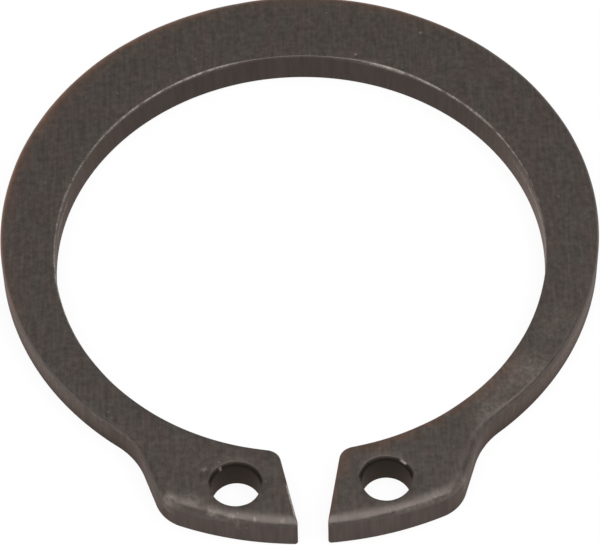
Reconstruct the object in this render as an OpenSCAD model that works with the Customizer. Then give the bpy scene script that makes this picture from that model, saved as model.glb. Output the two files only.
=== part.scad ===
// External retaining ring for an 18 mm shaft, lying flat in its free state.
// Millimetres, +Z up. The origin is on the axis of the bore, on the underside, and the gap faces -Y.
// The ring is blanked from spring-steel strip. The punch draws the top edge of the outer outline over
// into a soft roll, and the bore and the plier holes, pierced the other way, have theirs underneath.

/* [Ring] */
// Bore of the free ring, a little under the groove that it springs into
bore_d = 16.5; // [14:0.1:20]
// Thickness of the strip
thickness = 1.2; // [0.8:0.05:1.75]
// Radial width opposite the gap, where the ring bends most
back_width = 2.75; // [2.2:0.05:3.2]
// Radial width that the outer circle would have left at the gap, if there were no lugs
end_width = 0.95; // [0.6:0.05:1.3]

/* [Lugs] */
// Radial height of the lugs, from the bore to their ends
lug_height = 2.8; // [2.5:0.05:3.5]
// Width across both lugs, from shoulder to shoulder before they are rounded
lug_span = 9.65; // [8.5:0.05:11]
// Angle between the flank of a lug and the line of symmetry
flank_angle = 18.4; // [8:0.1:28]
// Rounding of a lug's outer shoulder
shoulder_r = 1.35; // [0.7:0.05:1.5]
// Fillet in the neck, where a flank runs into the outer circle
neck_r = 2.6; // [1:0.1:3.2]

/* [Gap] */
// Width of the gap at the bore
gap_inner = 2; // [1.4:0.05:2.6]
// Width of the gap at the ends of the lugs
gap_outer = 0.92; // [0.6:0.02:1.3]
// Rounding of a lug's inner corner, between the gap and the bore
heel_r = 0.5; // [0.2:0.05:0.6]
// Rounding of a lug's outer corner at the gap
toe_r = 0.1; // [0.06:0.02:0.24]

/* [Plier holes] */
// Diameter of the holes for the tips of the pliers
hole_d = 1.6; // [1.4:0.05:1.9]
// Distance between the centres of the two holes
hole_spacing = 4.85; // [4.5:0.05:5.2]
// Radial distance from the bore to the centres of the holes
hole_setback = 1.5; // [1.2:0.02:1.6]

/* [Edges] */
// How far the roll of the outer edge reaches in over the top face
roll_width = 0.46; // [0.2:0.02:0.5]
// How far the roll of the outer edge reaches down the wall
roll_depth = 0.2; // [0.1:0.02:0.4]
// How far the roll of a pierced edge reaches in over the underside, and up the wall
pierced_roll = 0.06; // [0.04:0.02:0.2]
// Straight steps that make up the curve of a roll
roll_steps = 4; // [3:1:6]

/* [Hidden] */
$fn = 180;

// Overshoot of a cut past the face that it leaves by
over = 1;
// How far a rounding stands past the two faces that it blends, so that it meets them cleanly
bite = 0.004;

bore_r = bore_d / 2;
lug_r = bore_r + lug_height;
hole_r = hole_d / 2;

// Outer circle: its centre lies off the bore's axis, away from the gap
rim_r = bore_r + (back_width + end_width) / 2;
rim_centre = [0, (back_width - end_width) / 2];

// Depth of the swept section, which reaches past the bore all the way round
section_depth = max(back_width, lug_height) + over;

// Flank of the +X lug: its outward normal, and its distance from the bore's axis
flank_normal = [cos(flank_angle), -sin(flank_angle)];
lug_shoulder = [lug_span / 2, -sqrt(pow(lug_r, 2) - pow(lug_span / 2, 2))];
flank_offset = flank_normal * lug_shoulder;

// Gap face of the +X lug: its two ends, and its normal into the lug
gap_mouth = [gap_inner / 2, -bore_r];
gap_end = [gap_outer / 2, -lug_r];
gap_normal = across(gap_mouth - gap_end);
gap_offset = gap_normal * gap_mouth;

// Centres of the roundings of the +X lug
shoulder_centre =
    tangent_centre(flank_normal, flank_offset + bite - shoulder_r, [0, 0], lug_r - shoulder_r);
neck_centre = tangent_centre(flank_normal, flank_offset + neck_r, rim_centre, rim_r + neck_r);
heel_centre = tangent_centre(gap_normal, gap_offset + heel_r, [0, 0], bore_r + heel_r);
toe_centre = tangent_centre(gap_normal, gap_offset + toe_r, [0, 0], lug_r - toe_r);

// How far the flank runs on inside the metal of the shoulder, and of the neck
shoulder_lap = 10 * bite;
neck_lap = neck_r / 5;

// Places where one stretch of the outer outline runs into the next, as angles and points
lug_angle = heading(shoulder_centre);
neck_angle = heading(neck_centre - rim_centre);
flank_start = shoulder_centre + (shoulder_r - bite) * flank_normal + shoulder_lap * across(flank_normal);
flank_end = neck_centre - neck_r * flank_normal - neck_lap * across(flank_normal);

// Turn of a lug's end about the bore's axis, from its shoulder to a line inside the gap
lug_turn = lug_angle + 90 - asin(gap_outer / 4 / lug_r);

// Reach of the waste cut from a corner of the gap, as a multiple of the corner's rounding
corner_reach = 1.5;

hole_centre_r = bore_r + hole_setback;
hole_centre = [hole_spacing / 2, -sqrt(pow(hole_centre_r, 2) - pow(hole_spacing / 2, 2))];

// Angle of a vector from +X
function heading(v) = atan2(v.y, v.x);

// Unit vector a quarter turn clockwise from v
function across(v) = [v.y, -v.x] / norm(v);

// Point that lies at an offset from the axis along a normal and at a distance r from c, on the gap's side
function tangent_centre(normal, offset, c, r) =
    let (reach = offset - normal * c)
    c + reach * normal + sqrt(r * r - reach * reach) * across(normal);

// Curve of a rolled corner, from its far end on the face, [w, 0], to its far end on the wall, [0, h]
function roll_curve(w, h) =
    [for (i = [0 : roll_steps]) let (t = 90 * i / roll_steps) [w * (1 - sin(t)), h * (1 - cos(t))]];

// Section at the outer outline, which is at x = 0 with the metal towards -X: the roll's last step runs on
// above the top face, where the strip's thickness trims it
module edge_section() {
    roll = roll_curve(roll_width, roll_depth);
    brow = 2 * roll[0] - roll[1];
    polygon(concat(
        [[0, 0], [-section_depth, 0], [-section_depth, thickness - brow.y], [-brow.x, thickness - brow.y]],
        [for (i = [1 : roll_steps]) [-roll[i].x, thickness - roll[i].y]]
    ));
}

// Section swept round a stretch where the outline bulges, and clipped at the arc's own centre
module round_bulge(centre, r, from = 0, turn = 360)
    translate(centre) rotate_extrude(start = from, angle = turn) intersection() {
        translate([r, 0]) edge_section();
        square([r, thickness + over]);
    }

// Section swept round a stretch where the outline is hollow
module round_hollow(centre, r, from, turn)
    translate(centre) rotate_extrude(start = from, angle = turn)
        translate([r, 0]) mirror([1, 0]) edge_section();

// Section swept along a straight stretch, with the metal on the left of the way from p to q
module straight_edge(p, q)
    translate(p) rotate(heading(q - p)) rotate([90, 0, 90]) linear_extrude(norm(q - p))
        mirror([1, 0]) edge_section();

// Metal that lies within the strip
module within_strip() {
    reach = lug_r + back_width;
    intersection() {
        children();
        translate([-reach, -reach]) cube([2 * reach, 2 * reach, thickness]);
    }
}

// End of the +X lug and its shoulder, which meet on their line of centres
module lug_end()
    rotate(lug_angle) {
        round_bulge([0, 0], lug_r, 0, -lug_turn);
        round_bulge([lug_r - shoulder_r, 0], shoulder_r, 0, 90);
    }

// The +X lug: its end and shoulder, its flank, and the neck that joins it to the rim
module lug() {
    within_strip() lug_end();
    within_strip() straight_edge(flank_start, flank_end);
    within_strip() round_hollow(neck_centre, neck_r + bite, neck_angle + 180, -neck_angle - flank_angle);
}

// Blank before it is pierced: the rim and the two lugs
module blank() {
    within_strip() round_bulge(rim_centre, rim_r);
    lug();
    mirror([1, 0, 0]) lug();
}

// Round hole that is pierced upwards, so its rim is rolled on the underside
module pierced_hole(r)
    rotate_extrude()
        polygon(concat(
            [[0, -over], [r + pierced_roll, -over]],
            [for (p = roll_curve(pierced_roll, pierced_roll)) [r + p.x, p.y]],
            [[r, thickness + over], [0, thickness + over]]
        ));

// Waste outside a rounded corner of a lug: the corner's arc runs from its tangent point a to b
module corner_waste(centre, r, a, b) {
    past_a = corner_reach * (a - centre);
    past_b = corner_reach * (b - centre);
    difference() {
        polygon([centre, centre + past_a, centre + past_a + past_b, centre + past_b]);
        translate(centre) circle(r + bite);
    }
}

// Waste at the corners of the +X lug's gap face
module gap_corners() {
    corner_waste(heel_centre, heel_r, heel_centre - heel_r * gap_normal,
        heel_centre * bore_r / (bore_r + heel_r));
    corner_waste(toe_centre, toe_r, toe_centre - toe_r * gap_normal,
        toe_centre * lug_r / (lug_r - toe_r));
}

// Gap between the lugs, narrowing outwards
module gap() {
    flare = (gap_mouth - gap_end) / lug_height * over;
    inner = gap_mouth + flare;
    outer = gap_end - flare;
    translate([0, 0, -over]) linear_extrude(thickness + 2 * over) {
        polygon([inner, outer, [-outer.x, outer.y], [-inner.x, inner.y]]);
        gap_corners();
        mirror([1, 0]) gap_corners();
    }
}

module retaining_ring()
    color("#4c4641") difference() {
        blank();
        pierced_hole(bore_r);
        gap();
        for (side = [-1, 1])
            translate([side * hole_centre.x, hole_centre.y]) pierced_hole(hole_r);
    }

retaining_ring();
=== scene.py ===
"""External retaining ring of phosphated spring steel, lying on a white table in soft studio light."""
import math

import bmesh
import bpy
import numpy as np
from mathutils import Matrix, Vector
from mathutils.geometry import delaunay_2d_cdt


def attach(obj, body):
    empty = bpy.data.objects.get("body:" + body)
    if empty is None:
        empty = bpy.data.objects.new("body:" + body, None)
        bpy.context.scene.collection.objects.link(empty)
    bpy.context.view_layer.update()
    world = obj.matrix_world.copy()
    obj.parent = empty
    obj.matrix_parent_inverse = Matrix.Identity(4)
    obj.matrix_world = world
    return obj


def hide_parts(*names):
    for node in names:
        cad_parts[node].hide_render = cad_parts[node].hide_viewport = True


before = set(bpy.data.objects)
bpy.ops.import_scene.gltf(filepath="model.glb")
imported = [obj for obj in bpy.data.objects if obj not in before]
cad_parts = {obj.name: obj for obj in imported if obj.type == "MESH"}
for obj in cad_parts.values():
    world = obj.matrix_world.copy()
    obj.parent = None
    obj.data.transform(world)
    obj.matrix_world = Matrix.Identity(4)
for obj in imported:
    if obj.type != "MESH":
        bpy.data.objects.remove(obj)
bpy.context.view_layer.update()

MM = 0.001

# Sizes of the ring in millimetres, as its CAD source gives them
THICKNESS = 1.2
BORE_R = 8.25
RIM_R = 10.1
RIM_CENTRE = np.array([0.0, 0.9])
LUG_R = 11.05
LUG_SPAN = 9.65
FLANK_ANGLE = 18.4
SHOULDER_R = 1.35
NECK_R = 2.6
GAP_INNER, GAP_OUTER = 2.0, 0.92
HEEL_R, TOE_R = 0.5, 0.1
HOLE_R = 0.8
HOLE_X, HOLE_SETBACK = 2.425, 1.5
HOLE_CENTRE = np.array([HOLE_X, -math.sqrt((BORE_R + HOLE_SETBACK) ** 2 - HOLE_X ** 2)])
ROLL_WIDTH, ROLL_DEPTH = 0.46, 0.2
PIERCED_ROLL = 0.06

# Finer edges that tumbling leaves, in millimetres: of the gap and bore, of a plier hole and how much more on its
# far side, and of the underside
CRISP_R = 0.08
HOLE_RIM_R, HOLE_RIM_FAR = 0.07, 0.06
UNDER_R = 0.04
# The drawn outline stays this far inside the CAD one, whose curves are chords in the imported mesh
INSET = 0.004

# Steps round each kind of edge, and down a wall
ROLL_STEPS, CRISP_STEPS, WALL_STEPS, UNDER_STEPS = 10, 4, 12, 4
# Steps along each stretch of the gap and bore, and of the outer outline
FACE_STEPS, HEEL_STEPS, BORE_STEPS = 21, 17, 240
SHOULDER_STEPS, FLANK_STEPS, NECK_STEPS, RIM_STEPS = 25, 14, 25, 240
# Points along the end of a lug, and round a plier hole
LUG_N, HOLE_N = 46, 120
# Powers that say how soon the drawn shoulders, the wall's finish and the painted highlight line at the near left
# fade
# # out up the roll
DRAW_FADE, WALL_FADE, HIGHLIGHT_FADE = 8, 16, 200
# Fine samples along the toe and the gap face, from which the points at the roll's depths are taken
TOE_FINE, FACE_FINE = 80, 600
# Points over which the inset and the sway of the roll fade in from the toe, and over which the sway of a hole's rim
# runs back to its start
FADE = 8


def heading(v):
    """Angle of a vector, in degrees."""
    return math.degrees(math.atan2(v[1], v[0]))


def aim(degrees):
    """Unit vectors at these angles."""
    a = np.radians(degrees)
    return np.stack([np.cos(a), np.sin(a)], axis=-1)


def tangent_centre(normal, offset, c, r):
    """Point at an offset along a normal and at a distance r from c, on the gap's side."""
    reach = offset - normal @ c
    side = np.array([normal[1], -normal[0]])
    return c + reach * normal + math.sqrt(r * r - reach * reach) * side


def smooth(x):
    """Soft step from 0 to 1."""
    x = np.clip(x, 0, 1)
    return x * x * (3 - 2 * x)


def stretch(angle, start, end, ramp):
    """How far angles lie within a stretch, from 0 outside to 1 inside, with soft ends."""
    return smooth((angle - start) / ramp) * smooth((end - angle) / ramp)


def along(place, table):
    """Value at each place along an edge, from pairs of a place and its value."""
    places, values = zip(*table)
    return np.interp(place, places, values)


def waver(count, length, seed):
    """Slow random sway from -1 to 1 along an edge, whose swings are about length samples long."""
    rng = np.random.RandomState(seed)
    knots = rng.uniform(-1, 1, max(4, count // length + 3))
    at = np.linspace(0, len(knots) - 1, count)
    low = np.minimum(at.astype(int), len(knots) - 2)
    f = smooth(at - low)
    return knots[low] * (1 - f) + knots[low + 1] * f


def mirrored(points):
    """Points of the -X half, in the order that goes on from the +X half."""
    return points[::-1] * np.array([-1.0, 1.0])


# Centres and tangent angles of the +X half of the outline
ORIGIN = np.zeros(2)
flank_normal = aim(-FLANK_ANGLE)
lug_shoulder = np.array([LUG_SPAN / 2, -math.sqrt(LUG_R ** 2 - LUG_SPAN ** 2 / 4)])
flank_offset = flank_normal @ lug_shoulder
gap_mouth = np.array([GAP_INNER / 2, -BORE_R])
gap_end = np.array([GAP_OUTER / 2, -LUG_R])
gap_way = (gap_mouth - gap_end) / np.linalg.norm(gap_mouth - gap_end)
gap_normal = np.array([gap_way[1], -gap_way[0]])
gap_offset = gap_normal @ gap_mouth
shoulder_centre = tangent_centre(flank_normal, flank_offset - SHOULDER_R, ORIGIN, LUG_R - SHOULDER_R)
neck_centre = tangent_centre(flank_normal, flank_offset + NECK_R, RIM_CENTRE, RIM_R + NECK_R)
heel_centre = tangent_centre(gap_normal, gap_offset + HEEL_R, ORIGIN, BORE_R + HEEL_R)
toe_centre = tangent_centre(gap_normal, gap_offset + TOE_R, ORIGIN, LUG_R - TOE_R)
lug_angle = heading(shoulder_centre)
neck_angle = heading(neck_centre - RIM_CENTRE)

# Rings of the roll, from the wall up to the flat top: their turn, their depth in from the outline, and their drop
roll_turn = np.radians(np.linspace(90, 0, ROLL_STEPS + 1))
ring_depths = ROLL_WIDTH * (1 - np.sin(roll_turn))
ring_drops = ROLL_DEPTH * (1 - np.cos(roll_turn))


def roll_height(depth):
    """Height of the top at a depth in from the outer outline."""
    x = np.clip((ROLL_WIDTH - depth) / ROLL_WIDTH, 0, 1)
    return THICKNESS - ROLL_DEPTH * (1 - np.sqrt(1 - x * x))


def crisp_width(points):
    """Width of the crisp rounding at points of the gap and bore, which fades out where the roll takes over."""
    return CRISP_R * smooth((LUG_R - np.linalg.norm(points, axis=1)) / ROLL_WIDTH)


def at_rows(table, rows):
    """Rows of a table of x and y, at row numbers that may lie between two rows."""
    return np.stack([np.interp(rows, np.arange(len(table)), table[:, c]) for c in range(2)], axis=-1)


def gap_side():
    """Edge of the gap and bore on the +X side, from the toe to the far side of the bore: points, normals into
    the metal, and how wide its rounding is above and below. The first points lie at the depths of the roll's
    rings."""
    toe = aim(np.linspace(heading(toe_centre), heading(-gap_normal) - 360, TOE_FINE))
    face_from = toe_centre - TOE_R * gap_normal
    face_to = heel_centre - HEEL_R * gap_normal
    face = face_from + np.linspace(0, 1, FACE_FINE)[1:, None] * (face_to - face_from)
    fine = np.concatenate([toe_centre + TOE_R * toe, face])
    inward = np.concatenate([-toe, np.tile(gap_normal, (len(face), 1))])
    depth = LUG_R - np.linalg.norm(fine + crisp_width(fine)[:, None] * inward, axis=1)
    at = np.interp(ring_depths, depth, np.arange(len(fine)))
    rows = np.concatenate([at, np.linspace(at[-1], len(fine) - 1, FACE_STEPS + 1)[1:]])
    heel = aim(np.linspace(heading(-gap_normal), heading(-heel_centre), HEEL_STEPS + 1)[1:])
    bore = aim(np.linspace(heading(heel_centre), 90, BORE_STEPS + 1)[1:])
    points = np.concatenate([at_rows(fine, rows), heel_centre + HEEL_R * heel, BORE_R * bore])
    normals = np.concatenate([at_rows(inward, rows), -heel, bore])
    normals /= np.linalg.norm(normals, axis=1)[:, None]
    under = np.full(len(points), UNDER_R)
    heel_from, bore_from = len(rows), len(rows) + HEEL_STEPS
    under[heel_from:bore_from] = np.linspace(UNDER_R, PIERCED_ROLL, HEEL_STEPS)
    under[bore_from:] = PIERCED_ROLL
    return points, normals, crisp_width(points), under


def rim_side():
    """Outer outline on the +X side past the lug's end, from the shoulder to the far side: points and normals."""
    shoulder = aim(np.linspace(lug_angle, -FLANK_ANGLE, SHOULDER_STEPS + 1)[1:])
    flank_from = shoulder_centre + SHOULDER_R * flank_normal
    flank_to = neck_centre - NECK_R * flank_normal
    flank = flank_from + np.linspace(0, 1, FLANK_STEPS + 1)[1:, None] * (flank_to - flank_from)
    neck = aim(np.linspace(180 - FLANK_ANGLE, neck_angle + 180, NECK_STEPS + 1)[1:])
    rim = aim(np.linspace(neck_angle, 90, RIM_STEPS + 1)[1:])
    points = np.concatenate([shoulder_centre + SHOULDER_R * shoulder, flank,
                             neck_centre + NECK_R * neck, RIM_CENTRE + RIM_R * rim])
    normals = np.concatenate([shoulder, np.tile(flank_normal, (len(flank), 1)), -neck, rim])
    return points - INSET * normals, normals


class Skin:
    """Welds grids of points into one closed mesh, and keeps the finish of each point, from 0 to about 1: rubbed
    bare and painted highlight, stained brown, sheared by the punch, painted shade, and wear and painted light."""

    def __init__(self):
        self.index, self.points, self.faces = {}, [], []
        self.finish = {"bare": [], "stained": [], "sheared": [], "sheltered": [], "worn": []}

    def point(self, x, y, z, **finish):
        """Number of the point at a place, new or known; of each finish it keeps the strongest."""
        key = (round(x, 6), round(y, 6), round(z, 6))
        if key not in self.index:
            self.index[key] = len(self.points)
            self.points.append(key)
            for values in self.finish.values():
                values.append(0.0)
        at = self.index[key]
        for name, value in finish.items():
            self.finish[name][at] = max(self.finish[name][at], value)
        return at

    def face(self, corners):
        """Face between numbered points, where three or more of them differ."""
        once = [c for i, c in enumerate(corners) if c != corners[i - 1]]
        if len(set(once)) >= 3:
            self.faces.append(once)

    def grid(self, rings, closed=False):
        """Rings of point numbers, all of one length, joined by quads."""
        for low, high in zip(rings, rings[1:]):
            n = len(low)
            for i in range(n if closed else n - 1):
                j = (i + 1) % n
                self.face([low[i], low[j], high[j], high[i]])


skin = Skin()

# Both edges run from the +X side of the gap round the ring to its -X side
half, half_in, half_width, half_under = gap_side()
edge = np.concatenate([half, mirrored(half)[1:]])
edge_in = np.concatenate([half_in, mirrored(half_in)[1:]])
edge_width = np.concatenate([half_width, half_width[::-1][1:]])
edge_under = np.concatenate([half_under, half_under[::-1][1:]])
side, side_out = rim_side()
rim = np.concatenate([side, mirrored(side)[1:]])
rim_out = np.concatenate([side_out, mirrored(side_out)[1:]])
EDGE_N = len(edge)
OUTLINE_N = 2 * LUG_N + len(rim)

# Angles round the bore run from 0 at +X to 360. The punch burnished the edge on both sides of its far end, and the
# bare colour there is also a painted highlight, strongest where the edge catches the light; the edge of the left lug
# is rubbed bare and rounder towards its toe
TOE_RUB_FROM, TOE_RUB_RAMP = -9.3, 0.3
edge_angle = np.degrees(np.arctan2(edge[:, 1], edge[:, 0])) % 360
left_toe = ((edge[:, 0] < 0) * smooth((TOE_RUB_FROM - edge[:, 1]) / TOE_RUB_RAMP)
            * smooth((LUG_R - np.linalg.norm(edge, axis=1)) / TOE_RUB_RAMP))
burnish_and_highlight = along(edge_angle, [(0, 0.45), (15, 0.55), (30, 0.75), (70, 0.8), (78, 0.05), (98, 0.05), (106, 0.7),
                             (130, 0.7), (160, 0.65), (205, 0.7), (215, 0), (340, 0), (360, 0.45)])
burnish_and_highlight = np.maximum(burnish_and_highlight, 0.95 * left_toe)
edge_width = edge_width * (1 + 0.3 * waver(EDGE_N, length=9, seed=3))
edge_width = edge_width * (1 + 0.7 * left_toe)
edge_width = edge_width * along(edge_angle, [(0, 1), (20, 1), (60, 1.15), (74, 1), (82, 0.35), (97, 0.35),
                                             (104, 1.05), (205, 1.05), (230, 0.7), (270, 0.7), (360, 0.9)])
# The bath left the edge brownish beside the gap and the bore at the right
edge_stain = 0.35 * stretch(edge_angle, 262, 330, 15)

# Crisp edge of the gap and bore, from the flat top down to the wall
crisp_rings = []
for step in range(CRISP_STEPS + 1):
    t = math.radians(90 * step / CRISP_STEPS)
    p = edge + (edge_width * (1 - math.sin(t)))[:, None] * edge_in
    z = roll_height(LUG_R - np.linalg.norm(p, axis=1)) - edge_width * (1 - math.cos(t))
    crisp_rings.append([(x, y, h) for (x, y), h in zip(p, z)])

# Places along the outer outline, counted in points from the gap
from_gap = np.arange(OUTLINE_N)
near_gap = np.minimum(from_gap, from_gap[::-1])
on_right = from_gap < from_gap[::-1]

# Shares of the roll's width and depth: it is widest at the left shoulder, and along the rim it is narrow and steep
roll_sway = 1 + 0.07 * waver(OUTLINE_N, length=14, seed=5) + 0.05 * waver(OUTLINE_N, length=5, seed=6)
roll_sway = 1 + (roll_sway - 1) * smooth(near_gap / FADE)
roll_reach = np.where(on_right,
                      along(near_gap, [(0, 1), (64, 1), (84, 0.8), (125, 0.3), (200, 0.3), (260, 0.45)]),
                      along(near_gap, [(0, 1), (32, 1), (42, 1.3), (60, 1.2), (84, 0.6), (105, 0.2), (200, 0.3),
                                       (250, 0.6), (310, 0.6), (340, 0.45)]))
roll_drop = along(near_gap, [(0, 1), (84, 1), (125, 0.8), (200, 0.8), (260, 0.6)])
# Beside a plier hole the roll leaves a narrow strip of flat top
hole_room = along(near_gap, [(19, 1.4), (24, 0.92), (33, 0.92), (38, 1.4)])
roll_share = np.minimum(roll_sway * roll_reach, hole_room)
# The punch drew the shoulders of the lugs lower, by up to these millimetres, most of all the left one
RIGHT_DRAW, LEFT_DRAW = 0.12, 0.2
shoulder_draw = np.where(on_right, RIGHT_DRAW * along(near_gap, [(0, 0), (14, 0.1), (32, 1), (64, 1), (84, 0)]),
                         LEFT_DRAW * along(near_gap, [(0, 0), (16, 0.1), (36, 1), (64, 1), (84, 0)]))

# Rolled edge of the outer outline, from the wall up to the flat top
roll_rings = []
for k in range(ROLL_STEPS + 1):
    start, end = crisp_rings[0][k], crisp_rings[0][EDGE_N - 1 - k]
    lug_out = aim(np.linspace(heading(start), lug_angle, LUG_N))
    lug_end = (LUG_R - INSET * smooth(np.arange(LUG_N) / FADE))[:, None] * lug_out
    base = np.concatenate([lug_end, rim, mirrored(lug_end)])
    out = np.concatenate([lug_out, rim_out, mirrored(lug_out)])
    p = base - (ring_depths[k] * roll_share)[:, None] * out
    z = THICKNESS - ring_drops[k] * roll_sway * roll_drop - shoulder_draw * math.sin(roll_turn[k]) ** DRAW_FADE
    ring = [(x, y, h) for (x, y), h in zip(p, z)]
    ring[0], ring[-1] = start, end
    roll_rings.append(ring)

# Wear and a painted highlight across the roll, from the ends of the lugs to their shoulders, palest part way down
# the roll, and two short stretches at the left that are torn half as dull as the wall
shoulder_wear_and_highlight = np.where(on_right, 0.7 * along(near_gap, [(16, 0), (28, 1), (58, 1), (70, 0)]),
                         0.9 * along(near_gap, [(8, 0), (16, 0.4), (31, 0.7), (36, 0.3), (42, 0.3), (50, 1),
                                                (58, 1), (70, 0)]))
roll_wear_and_highlight = along(np.degrees(roll_turn), [(27, 0), (36, 0.5), (45, 1), (54, 1), (63, 0.85), (72, 0.7), (81, 0.4),
                                          (90, 0.1)])
dull = ~on_right * along(near_gap, [(33, 0), (36, 0.5), (39, 0.5), (41, 0), (45, 0), (48, 0.5), (51, 0.5), (54, 0)])
# Flecks of wear and painted highlight along the ends of the lugs, part way down the roll, about 0.2 mm long and
# # stronger at the left
flecks = np.maximum(0, waver(OUTLINE_N, length=2, seed=21)) * along(near_gap, [(2, 0), (6, 1), (40, 1), (50, 0)])
flecks = np.where(on_right, 0.7, 1.3) * flecks
# The rim is stained rust-brown round its far side, and a highlight is painted where its roll meets the wall at the
# near left
rim_angle = np.array([heading(p) for p in roll_rings[0]]) % 360
rim_stain = stretch(rim_angle, 45, 205, 30)
rim_painted_highlight = 0.75 * stretch(rim_angle, 190, 246, 15)

roll_ids = []
for ring, t, wear_and_highlight_here in zip(roll_rings, roll_turn, roll_wear_and_highlight):
    # 1 where the roll meets the wall, 0 at the flat top
    low = math.sin(t)
    roll_ids.append([skin.point(*p, stained=s * (0.2 + 0.8 * low), sheared=max(low ** WALL_FADE, d * low),
                                bare=b * low ** HIGHLIGHT_FADE, worn=max(w * wear_and_highlight_here, c * math.sin(2 * t) ** 4))
                     for p, s, b, w, d, c in zip(ring, rim_stain, rim_painted_highlight, shoulder_wear_and_highlight, dull, flecks)])
crisp_ids = []
for k, ring in enumerate(crisp_rings):
    f = k / CRISP_STEPS
    crisp_ids.append([skin.point(*p, bare=b * (0.35 + 0.65 * math.sin(math.pi * k / CRISP_STEPS)), stained=s,
                                 sheared=f ** 4)
                      for p, b, s in zip(ring, burnish_and_highlight, edge_stain)])
skin.grid(roll_ids)
skin.grid(crisp_ids)

# Depth of the land that the punch sheared clean, as a share of the wall, and how soft its line is; where a wall is
# given one, a highlight is painted along that line
LAND, LAND_BLUR = 0.35, 0.12


def wall(top, inward, under, sheltered, foot, land, painted_light, closed=False):
    """Wall from a ring of points down to its lower edge, which is rounded over by under; gives the last ring.
    A highlight is painted along the line where its land ends, the rest is painted lighter by the given shares, and
    shade is painted on it, more towards its foot.
    The finish of the wall fades out at the edge of the underside."""
    rings = [[skin.point(*p) for p in top]]
    for step in range(1, WALL_STEPS + 1):
        f = step / WALL_STEPS
        line = math.exp(-((f - LAND) / LAND_BLUR) ** 2)
        rings.append([skin.point(p[0], p[1], p[2] * (1 - f) + u * f, sheared=1.0, sheltered=s + o * f * f,
                                 bare=b * line, worn=r)
                      for p, u, s, o, b, r in zip(top, under, sheltered, foot, land, painted_light)])
    for step in range(1, UNDER_STEPS + 1):
        t = math.radians(90 * step / UNDER_STEPS)
        low = [(p[0] + u * (1 - math.cos(t)) * m[0], p[1] + u * (1 - math.cos(t)) * m[1], u * (1 - math.sin(t)))
               for p, m, u in zip(top, inward, under)]
        kept = 1 - (step / UNDER_STEPS) ** 4
        rings.append([skin.point(*p, sheared=kept, sheltered=(s + o) * kept)
                      for p, s, o in zip(low, sheltered, foot)])
    skin.grid(rings, closed)
    return low


# Outer wall: shade is painted at its foot, least at the lugs, and both near quarters are painted lighter
nowhere = np.zeros(EDGE_N + OUTLINE_N)
outer_in = -np.concatenate([aim([heading(p) for p in roll_rings[0][:LUG_N]]), rim_out,
                            aim([heading(p) for p in roll_rings[0][-LUG_N:]])])
rim_foot_shade = along(rim_angle, [(0, 0.8), (240, 0.8), (248, 0.15), (292, 0.15), (300, 0.7), (360, 0.8)])
from_far = (rim_angle - 90) % 360
rim_painted_light = 0.9 * (stretch(from_far, 70, 158, 45) + stretch(from_far, 204, 290, 45))
under_rim = wall(roll_rings[0], outer_in, np.full(OUTLINE_N, UNDER_R), nowhere, rim_foot_shade, nowhere, rim_painted_light)

# Wall of the gap and bore: painted shade at the far side, a painted highlight along its land at both sides, and
# painted lighter at the right
edge_painted_shade = along(edge_angle, [(0, 0), (25, 0.1), (60, 0.4), (130, 0.5), (165, 0.3), (200, 0.1), (260, 0.2),
                                  (280, 0.2), (340, 0), (360, 0)])
edge_land_highlight = along(edge_angle, [(0, 0.85), (20, 0.75), (42, 0), (148, 0), (165, 0.8), (185, 0.8), (200, 0), (320, 0),
                               (360, 0.85)])
edge_painted_light = along(edge_angle, [(0, 1.2), (12, 1.1), (50, 0), (310, 0), (345, 1.1), (360, 1.2)]) * (edge[:, 0] > 0)
under_edge = wall(crisp_rings[-1], edge_in, edge_under, edge_painted_shade, nowhere, edge_land_highlight, edge_painted_light)


def plier_hole(sign, lightened, glint_steps):
    """Plier hole on one side: a crisp rim on top, a wall, and the roll of the piercing underneath. The rim is
    rounder, duller and painted dark on its far side, narrower towards the lug's end, and carries a painted glint
    along a stretch of angles on some of its steps. Shade is painted on the wall all round. Gives its rings on the
    top and on the underside."""
    centre = HOLE_CENTRE * np.array([sign, 1])
    angle = np.linspace(0, 360, HOLE_N + 1)[:-1]
    round_out = aim(angle)
    width = HOLE_RIM_R * (1 + 0.2 * waver(HOLE_N, length=8, seed=11 + sign))
    width[-FADE:] = width[-FADE] + (width[0] - width[-FADE]) * np.linspace(0, 1, FADE)
    far_side = smooth(round_out[:, 1] * 2 + 0.5)
    width = width + HOLE_RIM_FAR * far_side
    lug_end_side = smooth((round_out @ centre / np.linalg.norm(centre) - 0.6) / 0.3)
    width = width * (1 - 0.5 * lug_end_side)
    rings = []
    for step in range(CRISP_STEPS + 1):
        t = math.radians(90 * step / CRISP_STEPS)
        p = centre + (HOLE_R + width * (1 - math.sin(t)))[:, None] * round_out
        rings.append([(x, y, THICKNESS - w * (1 - math.cos(t))) for (x, y), w in zip(p, width)])
    ids = []
    for k, ring in enumerate(rings):
        bare_rim = stretch(angle, *lightened) * (k in glint_steps)
        far_rim_shade = (1 - bare_rim) * far_side * min(1, k)
        ids.append([skin.point(*p, sheltered=o, sheared=o, bare=0.8 * b) for p, o, b in zip(ring, far_rim_shade, bare_rim)])
    skin.grid(ids, closed=True)
    under = wall(rings[-1], round_out, np.full(HOLE_N, PIERCED_ROLL), np.ones(HOLE_N), nowhere, nowhere, nowhere,
                 closed=True)
    return rings[0], under


right_hole = plier_hole(1, lightened=(36, 60, 6), glint_steps=(1, 2))
left_hole = plier_hole(-1, lightened=(120, 131, 4), glint_steps=(2, 3, 4))
top_holes, under_holes = zip(right_hole, left_hole)


def inside(points, loop):
    """Which points lie inside a closed loop."""
    a, b = loop, np.roll(loop, -1, axis=0)
    x, y = points[:, 0][:, None], points[:, 1][:, None]
    crosses = (a[:, 1] > y) != (b[:, 1] > y)
    rise = np.where(b[:, 1] == a[:, 1], 1, b[:, 1] - a[:, 1])
    at = a[:, 0] + (y - a[:, 1]) / rise * (b[:, 0] - a[:, 0])
    return ((x < at) & crosses).sum(axis=1) % 2 == 1


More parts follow.
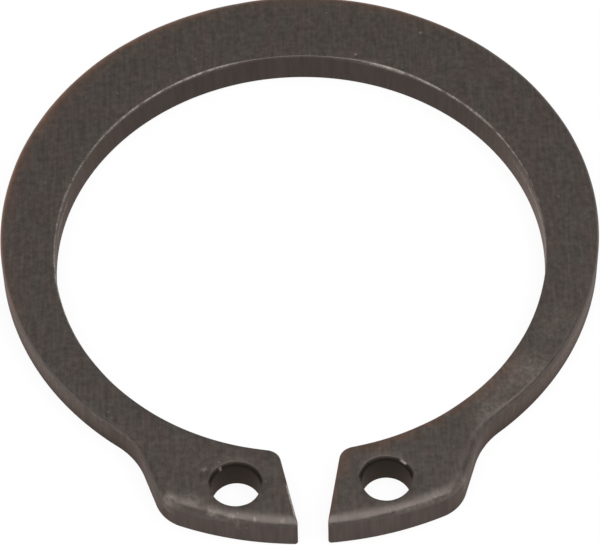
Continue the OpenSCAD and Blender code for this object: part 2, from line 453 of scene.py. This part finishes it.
# Small marks from the tumbling barrel on the top: x, y, radius and depth in millimetres
MARKS = [(-3.4, -8.9, 0.16, 0.03), (-3.05, -9.9, 0.13, 0.018), (-3.6, -10.1, 0.15, 0.02),
         (-6.35, -6.75, 0.14, 0.02), (-6.5, -6.5, 0.1, 0.014), (6.6, -6.9, 0.2, 0.02),
         (2.9, 9.5, 0.09, 0.012), (-1.9, 9.8, 0.08, 0.012), (-8.6, 3.0, 0.09, 0.012), (9.0, -0.4, 0.1, 0.012)]
# How fast a mark's depth falls off within its radius, and the rings of points round it, as shares of its radius
MARK_FALL = 1.8
MARK_RINGS, MARK_N = (0.25, 0.5, 0.75, 1.0, 1.3, 1.7), 16
# Reach and spacing of the free points on a flat face, and their least distance from its outline
FACE_REACH, FACE_SPACING, FACE_CLEAR = 11.2, 0.45, 0.08
# Delaunay's way that keeps only what lies inside the outlines, and the distance below which it joins points
INSIDE_ONLY, JOIN = 1, 1e-7


def flat_face(loop, holes, height):
    """Flat face inside a loop and outside its holes, with points enough to carry the small marks."""
    rings = [np.array([p[:2] for p in ring]) for ring in (loop, *holes)]
    span = np.arange(-FACE_REACH, FACE_REACH, FACE_SPACING)
    free = np.stack(np.meshgrid(span, span), axis=-1).reshape(-1, 2)
    around = [np.array([[x, y]]) + r * f * aim(np.linspace(0, 360, MARK_N + 1)[:-1] + 30 * f)
              for x, y, r, _ in MARKS for f in MARK_RINGS]
    free = np.concatenate([free, *around, [[x, y] for x, y, _, _ in MARKS]])
    free = free[inside(free, rings[0])]
    for ring in rings[1:]:
        free = free[~inside(free, ring)]
    fixed = np.concatenate(rings)
    away = np.min(np.linalg.norm(free[:, None] - fixed[None], axis=2), axis=1)
    free = free[away > FACE_CLEAR]
    edges, first = [], 0
    for ring in rings:
        edges += [(first + i, first + (i + 1) % len(ring)) for i in range(len(ring))]
        first += len(ring)
    given = np.concatenate([fixed, free])
    spots, _, triangles, sources, *_ = delaunay_2d_cdt([Vector(p) for p in given], edges, [], INSIDE_ONLY, JOIN)
    # The points that were given, because those that come back are rounded and wouldn't weld
    exact = [given[source[0]] if source else np.array(spot) for spot, source in zip(spots, sources)]
    for corners in triangles:
        middle = np.mean([exact[c] for c in corners], axis=0)[None]
        if not any(inside(middle, ring)[0] for ring in rings[1:]):
            skin.face([skin.point(*exact[c], height) for c in corners])


top_loop = roll_rings[-1] + crisp_rings[0][ROLL_STEPS + 1:EDGE_N - 1 - ROLL_STEPS][::-1]
under_loop = under_rim + under_edge[1:-1][::-1]
flat_face(top_loop, top_holes, THICKNESS)
flat_face(under_loop, under_holes, 0.0)

body = np.array(skin.points)
for x, y, r, depth in MARKS:
    away = np.hypot(body[:, 0] - x, body[:, 1] - y) / r
    upper = body[:, 2] > THICKNESS - ROLL_DEPTH
    body[:, 2] -= np.where(upper, depth * np.exp(-away ** 2 * MARK_FALL), 0)
mesh = bpy.data.meshes.new("ring_steel")
mesh.from_pydata(body * MM, [], skin.faces)
shaping = bmesh.new()
shaping.from_mesh(mesh)
bmesh.ops.recalc_face_normals(shaping, faces=shaping.faces)
shaping.to_mesh(mesh)
shaping.free()
mesh.polygons.foreach_set("use_smooth", [True] * len(mesh.polygons))


def spread(name, patches, lowest):
    """Adds soft round patches of a finish above a height; a patch is x, y, reach and strength, in millimetres."""
    values = np.array(skin.finish[name])
    for x, y, reach, strength in patches:
        away = np.hypot(body[:, 0] - x, body[:, 1] - y) / reach
        values = np.maximum(values, np.where(body[:, 2] > lowest, strength * np.exp(-away ** 2), 0))
    skin.finish[name] = values


# The flat top is paler in patches at the near right, and the rolls of its lugs in spots of wear and painted
# # highlight. Only what lies above this height belongs to the flat top
FLAT_TOP = THICKNESS - 0.004
spread("worn", [(7.3, -5.5, 1.2, 0.75), (6.1, -6.1, 1.4, 0.55), (8.3, -3.6, 1.3, 0.5), (6.0, -7.1, 0.9, 0.75)],
       FLAT_TOP)
spread("worn", [(-4.6, -9.85, 0.28, 1.15), (-3.9, -9.9, 0.4, 0.6), (-3.2, -10.3, 0.3, 0.6),
                (-2.4, -10.75, 0.12, 0.9), (-0.95, -10.85, 0.1, 0.9), (4.95, -9.5, 0.3, 0.8)], THICKNESS / 2)
# Rust-brown stains run in over the top beside the bore
spread("stained", [(6.6, -5.2, 0.6, 0.36), (5.9, -5.95, 0.5, 0.22)], THICKNESS / 2)
for name, values in skin.finish.items():
    mesh.attributes.new(name, "FLOAT", "POINT").data.foreach_set("value", values)

steel_ring = bpy.data.objects.new("ring_steel", mesh)
bpy.context.scene.collection.objects.link(steel_ring)
# Larger faces weigh more in the shading, so that the flat faces stay flat up to their edges
even = steel_ring.modifiers.new("flat_faces_stay_flat", "WEIGHTED_NORMAL")
even.weight = 60
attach(steel_ring, "root")
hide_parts("retaining_ring")


def linear(code):
    """Linear colour, with alpha, of an sRGB hex code."""
    parts = [int(code[i:i + 2], 16) / 255 for i in (1, 3, 5)]
    return [c / 12.92 if c <= 0.04045 else ((c + 0.055) / 1.055) ** 2.4 for c in parts] + [1.0]


def add(tree, kind, inputs=None, **settings):
    """Adds a node, with settings on the node itself and values or links on its sockets."""
    made = tree.nodes.new(kind)
    for name, value in settings.items():
        setattr(made, name, value)
    for name, value in (inputs or {}).items():
        if isinstance(value, bpy.types.NodeSocket):
            tree.links.new(value, made.inputs[name])
        else:
            made.inputs[name].default_value = value
    return made


# Spring-steel strip, blanked, tumbled, manganese-phosphated and oiled: a dark brown-black skin of fine
# # crystals, satin and a little mottled, rubbed to bare grey steel along its sharpest edges; paler and darker colour
# # also paints highlights, light and shade on some edges, walls and hollows
steel = bpy.data.materials.new("manganese_phosphated_spring_steel_oiled")
steel.use_nodes = True
tree = steel.node_tree
tree.nodes.clear()
place = add(tree, "ShaderNodeTexCoord")
in_mm = add(tree, "ShaderNodeVectorMath", {0: place.outputs["Object"], "Scale": 1 / MM}, operation="SCALE")
at_mm = in_mm.outputs[0]
# Range that most values of a noise pattern lie in
SWING = {"From Min": 0.3, "From Max": 0.7}

# Patches where the bath coloured the steel brown or grey brown: 0.55 mm across, and longer along the grain
PATCH, PATCH_LONG = 0.55, 1.3
patch_way = add(tree, "ShaderNodeVectorMath", {0: at_mm, 1: (1 / PATCH, 1 / PATCH_LONG, 1 / PATCH)},
                operation="MULTIPLY")
patch = add(tree, "ShaderNodeTexNoise", {"Vector": patch_way.outputs[0], "Scale": 1.0, "Detail": 2.0})
patch_mask = add(tree, "ShaderNodeMapRange", {"Value": patch.outputs[0], "From Min": 0.4, "From Max": 0.6},
                 interpolation_type="SMOOTHSTEP")
tone = add(tree, "ShaderNodeMix", {0: patch_mask.outputs[0], 6: linear("#3b342f"), 7: linear("#393530")},
           data_type="RGBA")

# Grain of the rolled strip along Y: real lines are about 0.02 mm, drawn at 0.1 mm to show
GRAIN, GRAIN_LONG = 0.1, 1.2
grain_way = add(tree, "ShaderNodeVectorMath", {0: at_mm, 1: (1 / GRAIN, 1 / GRAIN_LONG, 1 / GRAIN)},
                operation="MULTIPLY")
grain = add(tree, "ShaderNodeTexNoise", {"Vector": grain_way.outputs[0], "Scale": 1.0, "Detail": 2.0})
# Crystals of the phosphate: about 0.01 mm, drawn at 0.2 mm to show
CRYSTAL = 0.2
crystal = add(tree, "ShaderNodeTexNoise", {"Vector": at_mm, "Scale": 1 / CRYSTAL, "Detail": 4.0, "Roughness": 0.65})
grain_shift = add(tree, "ShaderNodeMapRange", {"Value": grain.outputs[0], **SWING, "To Min": 0.78, "To Max": 1.22})
crystal_shift = add(tree, "ShaderNodeMapRange", {"Value": crystal.outputs[0], **SWING, "To Min": 0.75,
                                                 "To Max": 1.25})
shift = add(tree, "ShaderNodeMath", {0: grain_shift.outputs[0], 1: crystal_shift.outputs[0]}, operation="MULTIPLY")
skin_tone = add(tree, "ShaderNodeVectorMath", {0: tone.outputs[2], "Scale": shift.outputs[0]}, operation="SCALE")
# Upright lines that shearing drew down the walls: about 0.03 mm, drawn at 0.16 mm to show
LINE, LINE_LONG = 0.16, 1.6
sheared = add(tree, "ShaderNodeAttribute", attribute_name="sheared")
line_way = add(tree, "ShaderNodeVectorMath", {0: at_mm, 1: (1 / LINE, 1 / LINE, 1 / LINE_LONG)},
               operation="MULTIPLY")
lines = add(tree, "ShaderNodeTexNoise", {"Vector": line_way.outputs[0], "Scale": 1.0, "Detail": 2.0})
line_shift = add(tree, "ShaderNodeMapRange", {"Value": lines.outputs[0], **SWING, "To Min": 0.85, "To Max": 1.15})
torn_tone = add(tree, "ShaderNodeVectorMath", {0: linear("#564e4a")[:3], "Scale": line_shift.outputs[0]},
                operation="SCALE")
mottled = add(tree, "ShaderNodeMix", {0: sheared.outputs["Fac"], 6: skin_tone.outputs[0], 7: torn_tone.outputs[0]},
              data_type="RGBA")

# Rust-brown stain that the bath left thin along the outer edge and beside the bore, uneven over 0.8 mm
STAIN_BREAK = 0.8
stained = add(tree, "ShaderNodeAttribute", attribute_name="stained")
stain_break = add(tree, "ShaderNodeTexNoise", {"Vector": at_mm, "Scale": 1 / STAIN_BREAK, "Detail": 3.0})
stain_level = add(tree, "ShaderNodeMath", {0: stained.outputs["Fac"], 1: stain_break.outputs[0]},
                  operation="MULTIPLY")
stain = add(tree, "ShaderNodeMapRange", {"Value": stain_level.outputs[0], "From Min": 0.0, "From Max": 0.5,
                                         "To Max": 0.65})
browned = add(tree, "ShaderNodeMix", {0: stain.outputs[0], 6: mottled.outputs[2], 7: linear("#7a5038")},
              data_type="RGBA")

# Paler grey brown in flecks of 0.13 mm: wear together with a painted highlight on the lug rolls, paler patches on
# the
# # flat top at the near right, and painted light on the walls at the near quarters and at the right of the bore
PALE_FLECK = 0.13
worn = add(tree, "ShaderNodeAttribute", attribute_name="worn")
pale_break = add(tree, "ShaderNodeTexNoise", {"Vector": at_mm, "Scale": 1 / PALE_FLECK, "Detail": 3.0,
                                              "Roughness": 0.6})
worn_level = add(tree, "ShaderNodeMath", {0: worn.outputs["Fac"], 1: pale_break.outputs[0]}, operation="MULTIPLY")
pale_share = add(tree, "ShaderNodeMapRange", {"Value": worn_level.outputs[0], "From Min": 0.1, "From Max": 0.8,
                                        "To Max": 0.8}, interpolation_type="SMOOTHSTEP")
lightened = add(tree, "ShaderNodeMix", {0: pale_share.outputs[0], 6: browned.outputs[2], 7: linear("#7d736c")},
             data_type="RGBA")

# Paler grey steel, broken up every 0.3 mm: bare steel that the punch burnished along the edge, and highlights
# painted
# # there, on the hole rims, where the roll meets the wall at the near left, and along the land of the bore's wall
PALE_EDGE_BREAK = 0.3
bare = add(tree, "ShaderNodeAttribute", attribute_name="bare")
breaks = add(tree, "ShaderNodeTexNoise", {"Vector": at_mm, "Scale": 1 / PALE_EDGE_BREAK, "Detail": 4.0,
                                          "Roughness": 0.75})
bare_level = add(tree, "ShaderNodeMath", {0: bare.outputs["Fac"], 1: breaks.outputs[0]}, operation="MULTIPLY")
bright = add(tree, "ShaderNodeMapRange", {"Value": bare_level.outputs[0], "From Min": 0.2, "From Max": 0.5},
             interpolation_type="SMOOTHSTEP")
edged = add(tree, "ShaderNodeMix", {0: bright.outputs[0], 6: lightened.outputs[2], 7: linear("#938c86")},
            data_type="RGBA")

# Specks about 0.1 mm across, the peaks of a 0.28 mm pattern, where the skin was knocked off
SPECK = 0.28
speck = add(tree, "ShaderNodeTexNoise", {"Vector": at_mm, "Scale": 1 / SPECK, "Detail": 1.0})
speck_mask = add(tree, "ShaderNodeMapRange", {"Value": speck.outputs[0], "From Min": 0.77, "From Max": 0.85,
                                              "To Max": 0.5})
specked = add(tree, "ShaderNodeMix", {0: speck_mask.outputs[0], 6: edged.outputs[2], 7: linear("#8a827b")},
              data_type="RGBA")

# Painted shade: darker colour in the plier holes and on their far rims, at the foot of the outer wall, and on the
# wall of the bore at its far side
sheltered = add(tree, "ShaderNodeAttribute", attribute_name="sheltered")
colour = add(tree, "ShaderNodeMix", {0: sheltered.outputs["Fac"], 6: specked.outputs[2], 7: linear("#332e28")},
             data_type="RGBA")

# Oil, spread unevenly over 0.4 mm, and crystals make the rolled skin more or less dull; the torn walls are duller
OIL, TORN_ROUGHNESS = 0.4, 0.6
oil = add(tree, "ShaderNodeTexNoise", {"Vector": at_mm, "Scale": 1 / OIL, "Detail": 3.0, "Roughness": 0.6})
oil_film = add(tree, "ShaderNodeMapRange", {"Value": oil.outputs[0], **SWING, "To Min": 0.32, "To Max": 0.44})
dullness = add(tree, "ShaderNodeMapRange", {"Value": crystal.outputs[0], **SWING, "To Min": -0.03, "To Max": 0.03})
satin = add(tree, "ShaderNodeMath", {0: oil_film.outputs[0], 1: dullness.outputs[0]}, operation="ADD")
torn = add(tree, "ShaderNodeMix", {0: sheared.outputs["Fac"], 2: satin.outputs[0], 3: TORN_ROUGHNESS})
# The crystal skin shines only in part as metal does, and the sheared walls almost wholly
metal = add(tree, "ShaderNodeMapRange", {"Value": sheared.outputs["Fac"], "To Min": 0.25, "To Max": 0.95})
# Height of the crystals' relief, in millimetres
CRYSTAL_HEIGHT = 0.006
relief = add(tree, "ShaderNodeBump", {"Strength": 0.5, "Distance": CRYSTAL_HEIGHT * MM,
                                      "Height": crystal.outputs[0]})
finish = add(tree, "ShaderNodeBsdfPrincipled", {
    "Base Color": colour.outputs[2], "Metallic": metal.outputs[0], "Roughness": torn.outputs[0],
    "Specular IOR Level": 1.0, "Specular Tint": linear("#efe0dc"), "Normal": relief.outputs[0]})
add(tree, "ShaderNodeOutputMaterial", {"Surface": finish.outputs[0]})
mesh.materials.append(steel)

# Table of white card: its own white shows to the camera and in reflections, and leaves a tenth of the soft shadow
CARD_WHITE = 0.9
card = bpy.data.materials.new("white_card")
card.use_nodes = True
tree = card.node_tree
tree.nodes.clear()
seen = add(tree, "ShaderNodeLightPath")
mirror_or_lens = add(tree, "ShaderNodeMath", {0: seen.outputs["Is Camera Ray"], 1: seen.outputs["Is Glossy Ray"]},
                     operation="MAXIMUM")
shown = add(tree, "ShaderNodeMath", {0: mirror_or_lens.outputs[0], 1: seen.outputs["Is Transmission Ray"]},
            operation="MAXIMUM")
lift = add(tree, "ShaderNodeMath", {0: shown.outputs[0], 1: CARD_WHITE}, operation="MULTIPLY")
paper = add(tree, "ShaderNodeBsdfDiffuse", {"Color": linear("#f4f4f4")})
glow = add(tree, "ShaderNodeEmission", {"Color": linear("#ffffff"), "Strength": 1.0})
both = add(tree, "ShaderNodeMixShader", {0: lift.outputs[0], 1: paper.outputs[0], 2: glow.outputs[0]})
# Seen from below the card is clear, so that the underside shows
side_seen = add(tree, "ShaderNodeNewGeometry")
clear = add(tree, "ShaderNodeBsdfTransparent")
one_sided = add(tree, "ShaderNodeMixShader", {0: side_seen.outputs["Backfacing"], 1: both.outputs[0],
                                              2: clear.outputs[0]})
add(tree, "ShaderNodeOutputMaterial", {"Surface": one_sided.outputs[0]})
# Half the table's side, and its height, just under the ring, in metres
TABLE, TABLE_TOP = 0.4, -0.01 * MM
table_mesh = bpy.data.meshes.new("table")
table_mesh.from_pydata([(x * TABLE, y * TABLE, TABLE_TOP) for x, y in ((-1, -1), (1, -1), (1, 1), (-1, 1))], [],
                       [(0, 1, 2, 3)])
table_mesh.materials.append(card)
table = bpy.data.objects.new("table", table_mesh)
bpy.context.scene.collection.objects.link(table)

# Room: a plain pale surround, nearly white low down and dimmer overhead
world = bpy.data.worlds.new("studio")
bpy.context.scene.world = world
world.use_nodes = True
tree = world.node_tree
tree.nodes.clear()
way = add(tree, "ShaderNodeTexCoord")
rise = add(tree, "ShaderNodeSeparateXYZ", {0: way.outputs["Generated"]})
surround = add(tree, "ShaderNodeMapRange", {"Value": rise.outputs["Z"], "From Min": 0.1, "From Max": 0.6,
                                            "To Min": 0.9, "To Max": 0.35}, interpolation_type="SMOOTHSTEP")
room = add(tree, "ShaderNodeBackground", {"Color": linear("#ffffff"), "Strength": surround.outputs[0]})
add(tree, "ShaderNodeOutputWorld", {"Surface": room.outputs[0]})


def softbox(name, spot, size, power):
    """Rectangular soft light at a spot, facing the ring; spot and size are in millimetres, power in watts."""
    lamp = bpy.data.lights.new(name, "AREA")
    lamp.shape = "RECTANGLE"
    lamp.size, lamp.size_y = size[0] * MM, size[1] * MM
    lamp.energy = power
    box = bpy.data.objects.new(name, lamp)
    box.location = Vector(spot) * MM
    box.rotation_euler = Vector(spot).to_track_quat("Z", "Y").to_euler()
    bpy.context.scene.collection.objects.link(box)


softbox("overhead_softbox", spot=(12, -38, 145), size=(170, 146), power=0.25)

# Camera at the photograph's viewing angle, turned towards the middle of the bore: how far off it stands in
# millimetres, and in degrees how high, how far round from -Y, and how far it is rolled
CAMERA_FAR, CAMERA_UP, CAMERA_ROUND, CAMERA_ROLL = 125.0, 53.696, -1.08, -1.253
# Size of the image, its focal length and the foot of its optical axis, in pixels, and the sensor's width in
# millimetres
IMAGE_WIDTH, IMAGE_HEIGHT = 600, 545
FOCAL, AXIS_X, AXIS_Y = 3693.7, 300.8, 266.9
SENSOR = 36.0
up, turn, roll = (math.radians(v) for v in (CAMERA_UP, CAMERA_ROUND, CAMERA_ROLL))
back = Vector((math.sin(turn) * math.cos(up), -math.cos(turn) * math.cos(up), math.sin(up)))
right = Vector((math.cos(turn), math.sin(turn), 0))
above = back.cross(right)
lens_right = math.cos(roll) * right + math.sin(roll) * above
lens_up = -math.sin(roll) * right + math.cos(roll) * above
camera = bpy.data.objects.new("camera", bpy.data.cameras.new("camera"))
camera.data.sensor_fit = "HORIZONTAL"
camera.data.sensor_width = SENSOR
camera.data.lens = SENSOR * FOCAL / IMAGE_WIDTH
camera.data.shift_x = (IMAGE_WIDTH / 2 - AXIS_X) / IMAGE_WIDTH
camera.data.shift_y = (AXIS_Y - IMAGE_HEIGHT / 2) / IMAGE_WIDTH
camera.data.clip_start = MM
lens_turn = Matrix((lens_right, lens_up, back)).transposed().to_4x4()
camera.matrix_world = Matrix.Translation(back * CAMERA_FAR * MM) @ lens_turn
bpy.context.scene.collection.objects.link(camera)
bpy.context.scene.camera = camera
bpy.context.scene.view_settings.view_transform = "Standard"
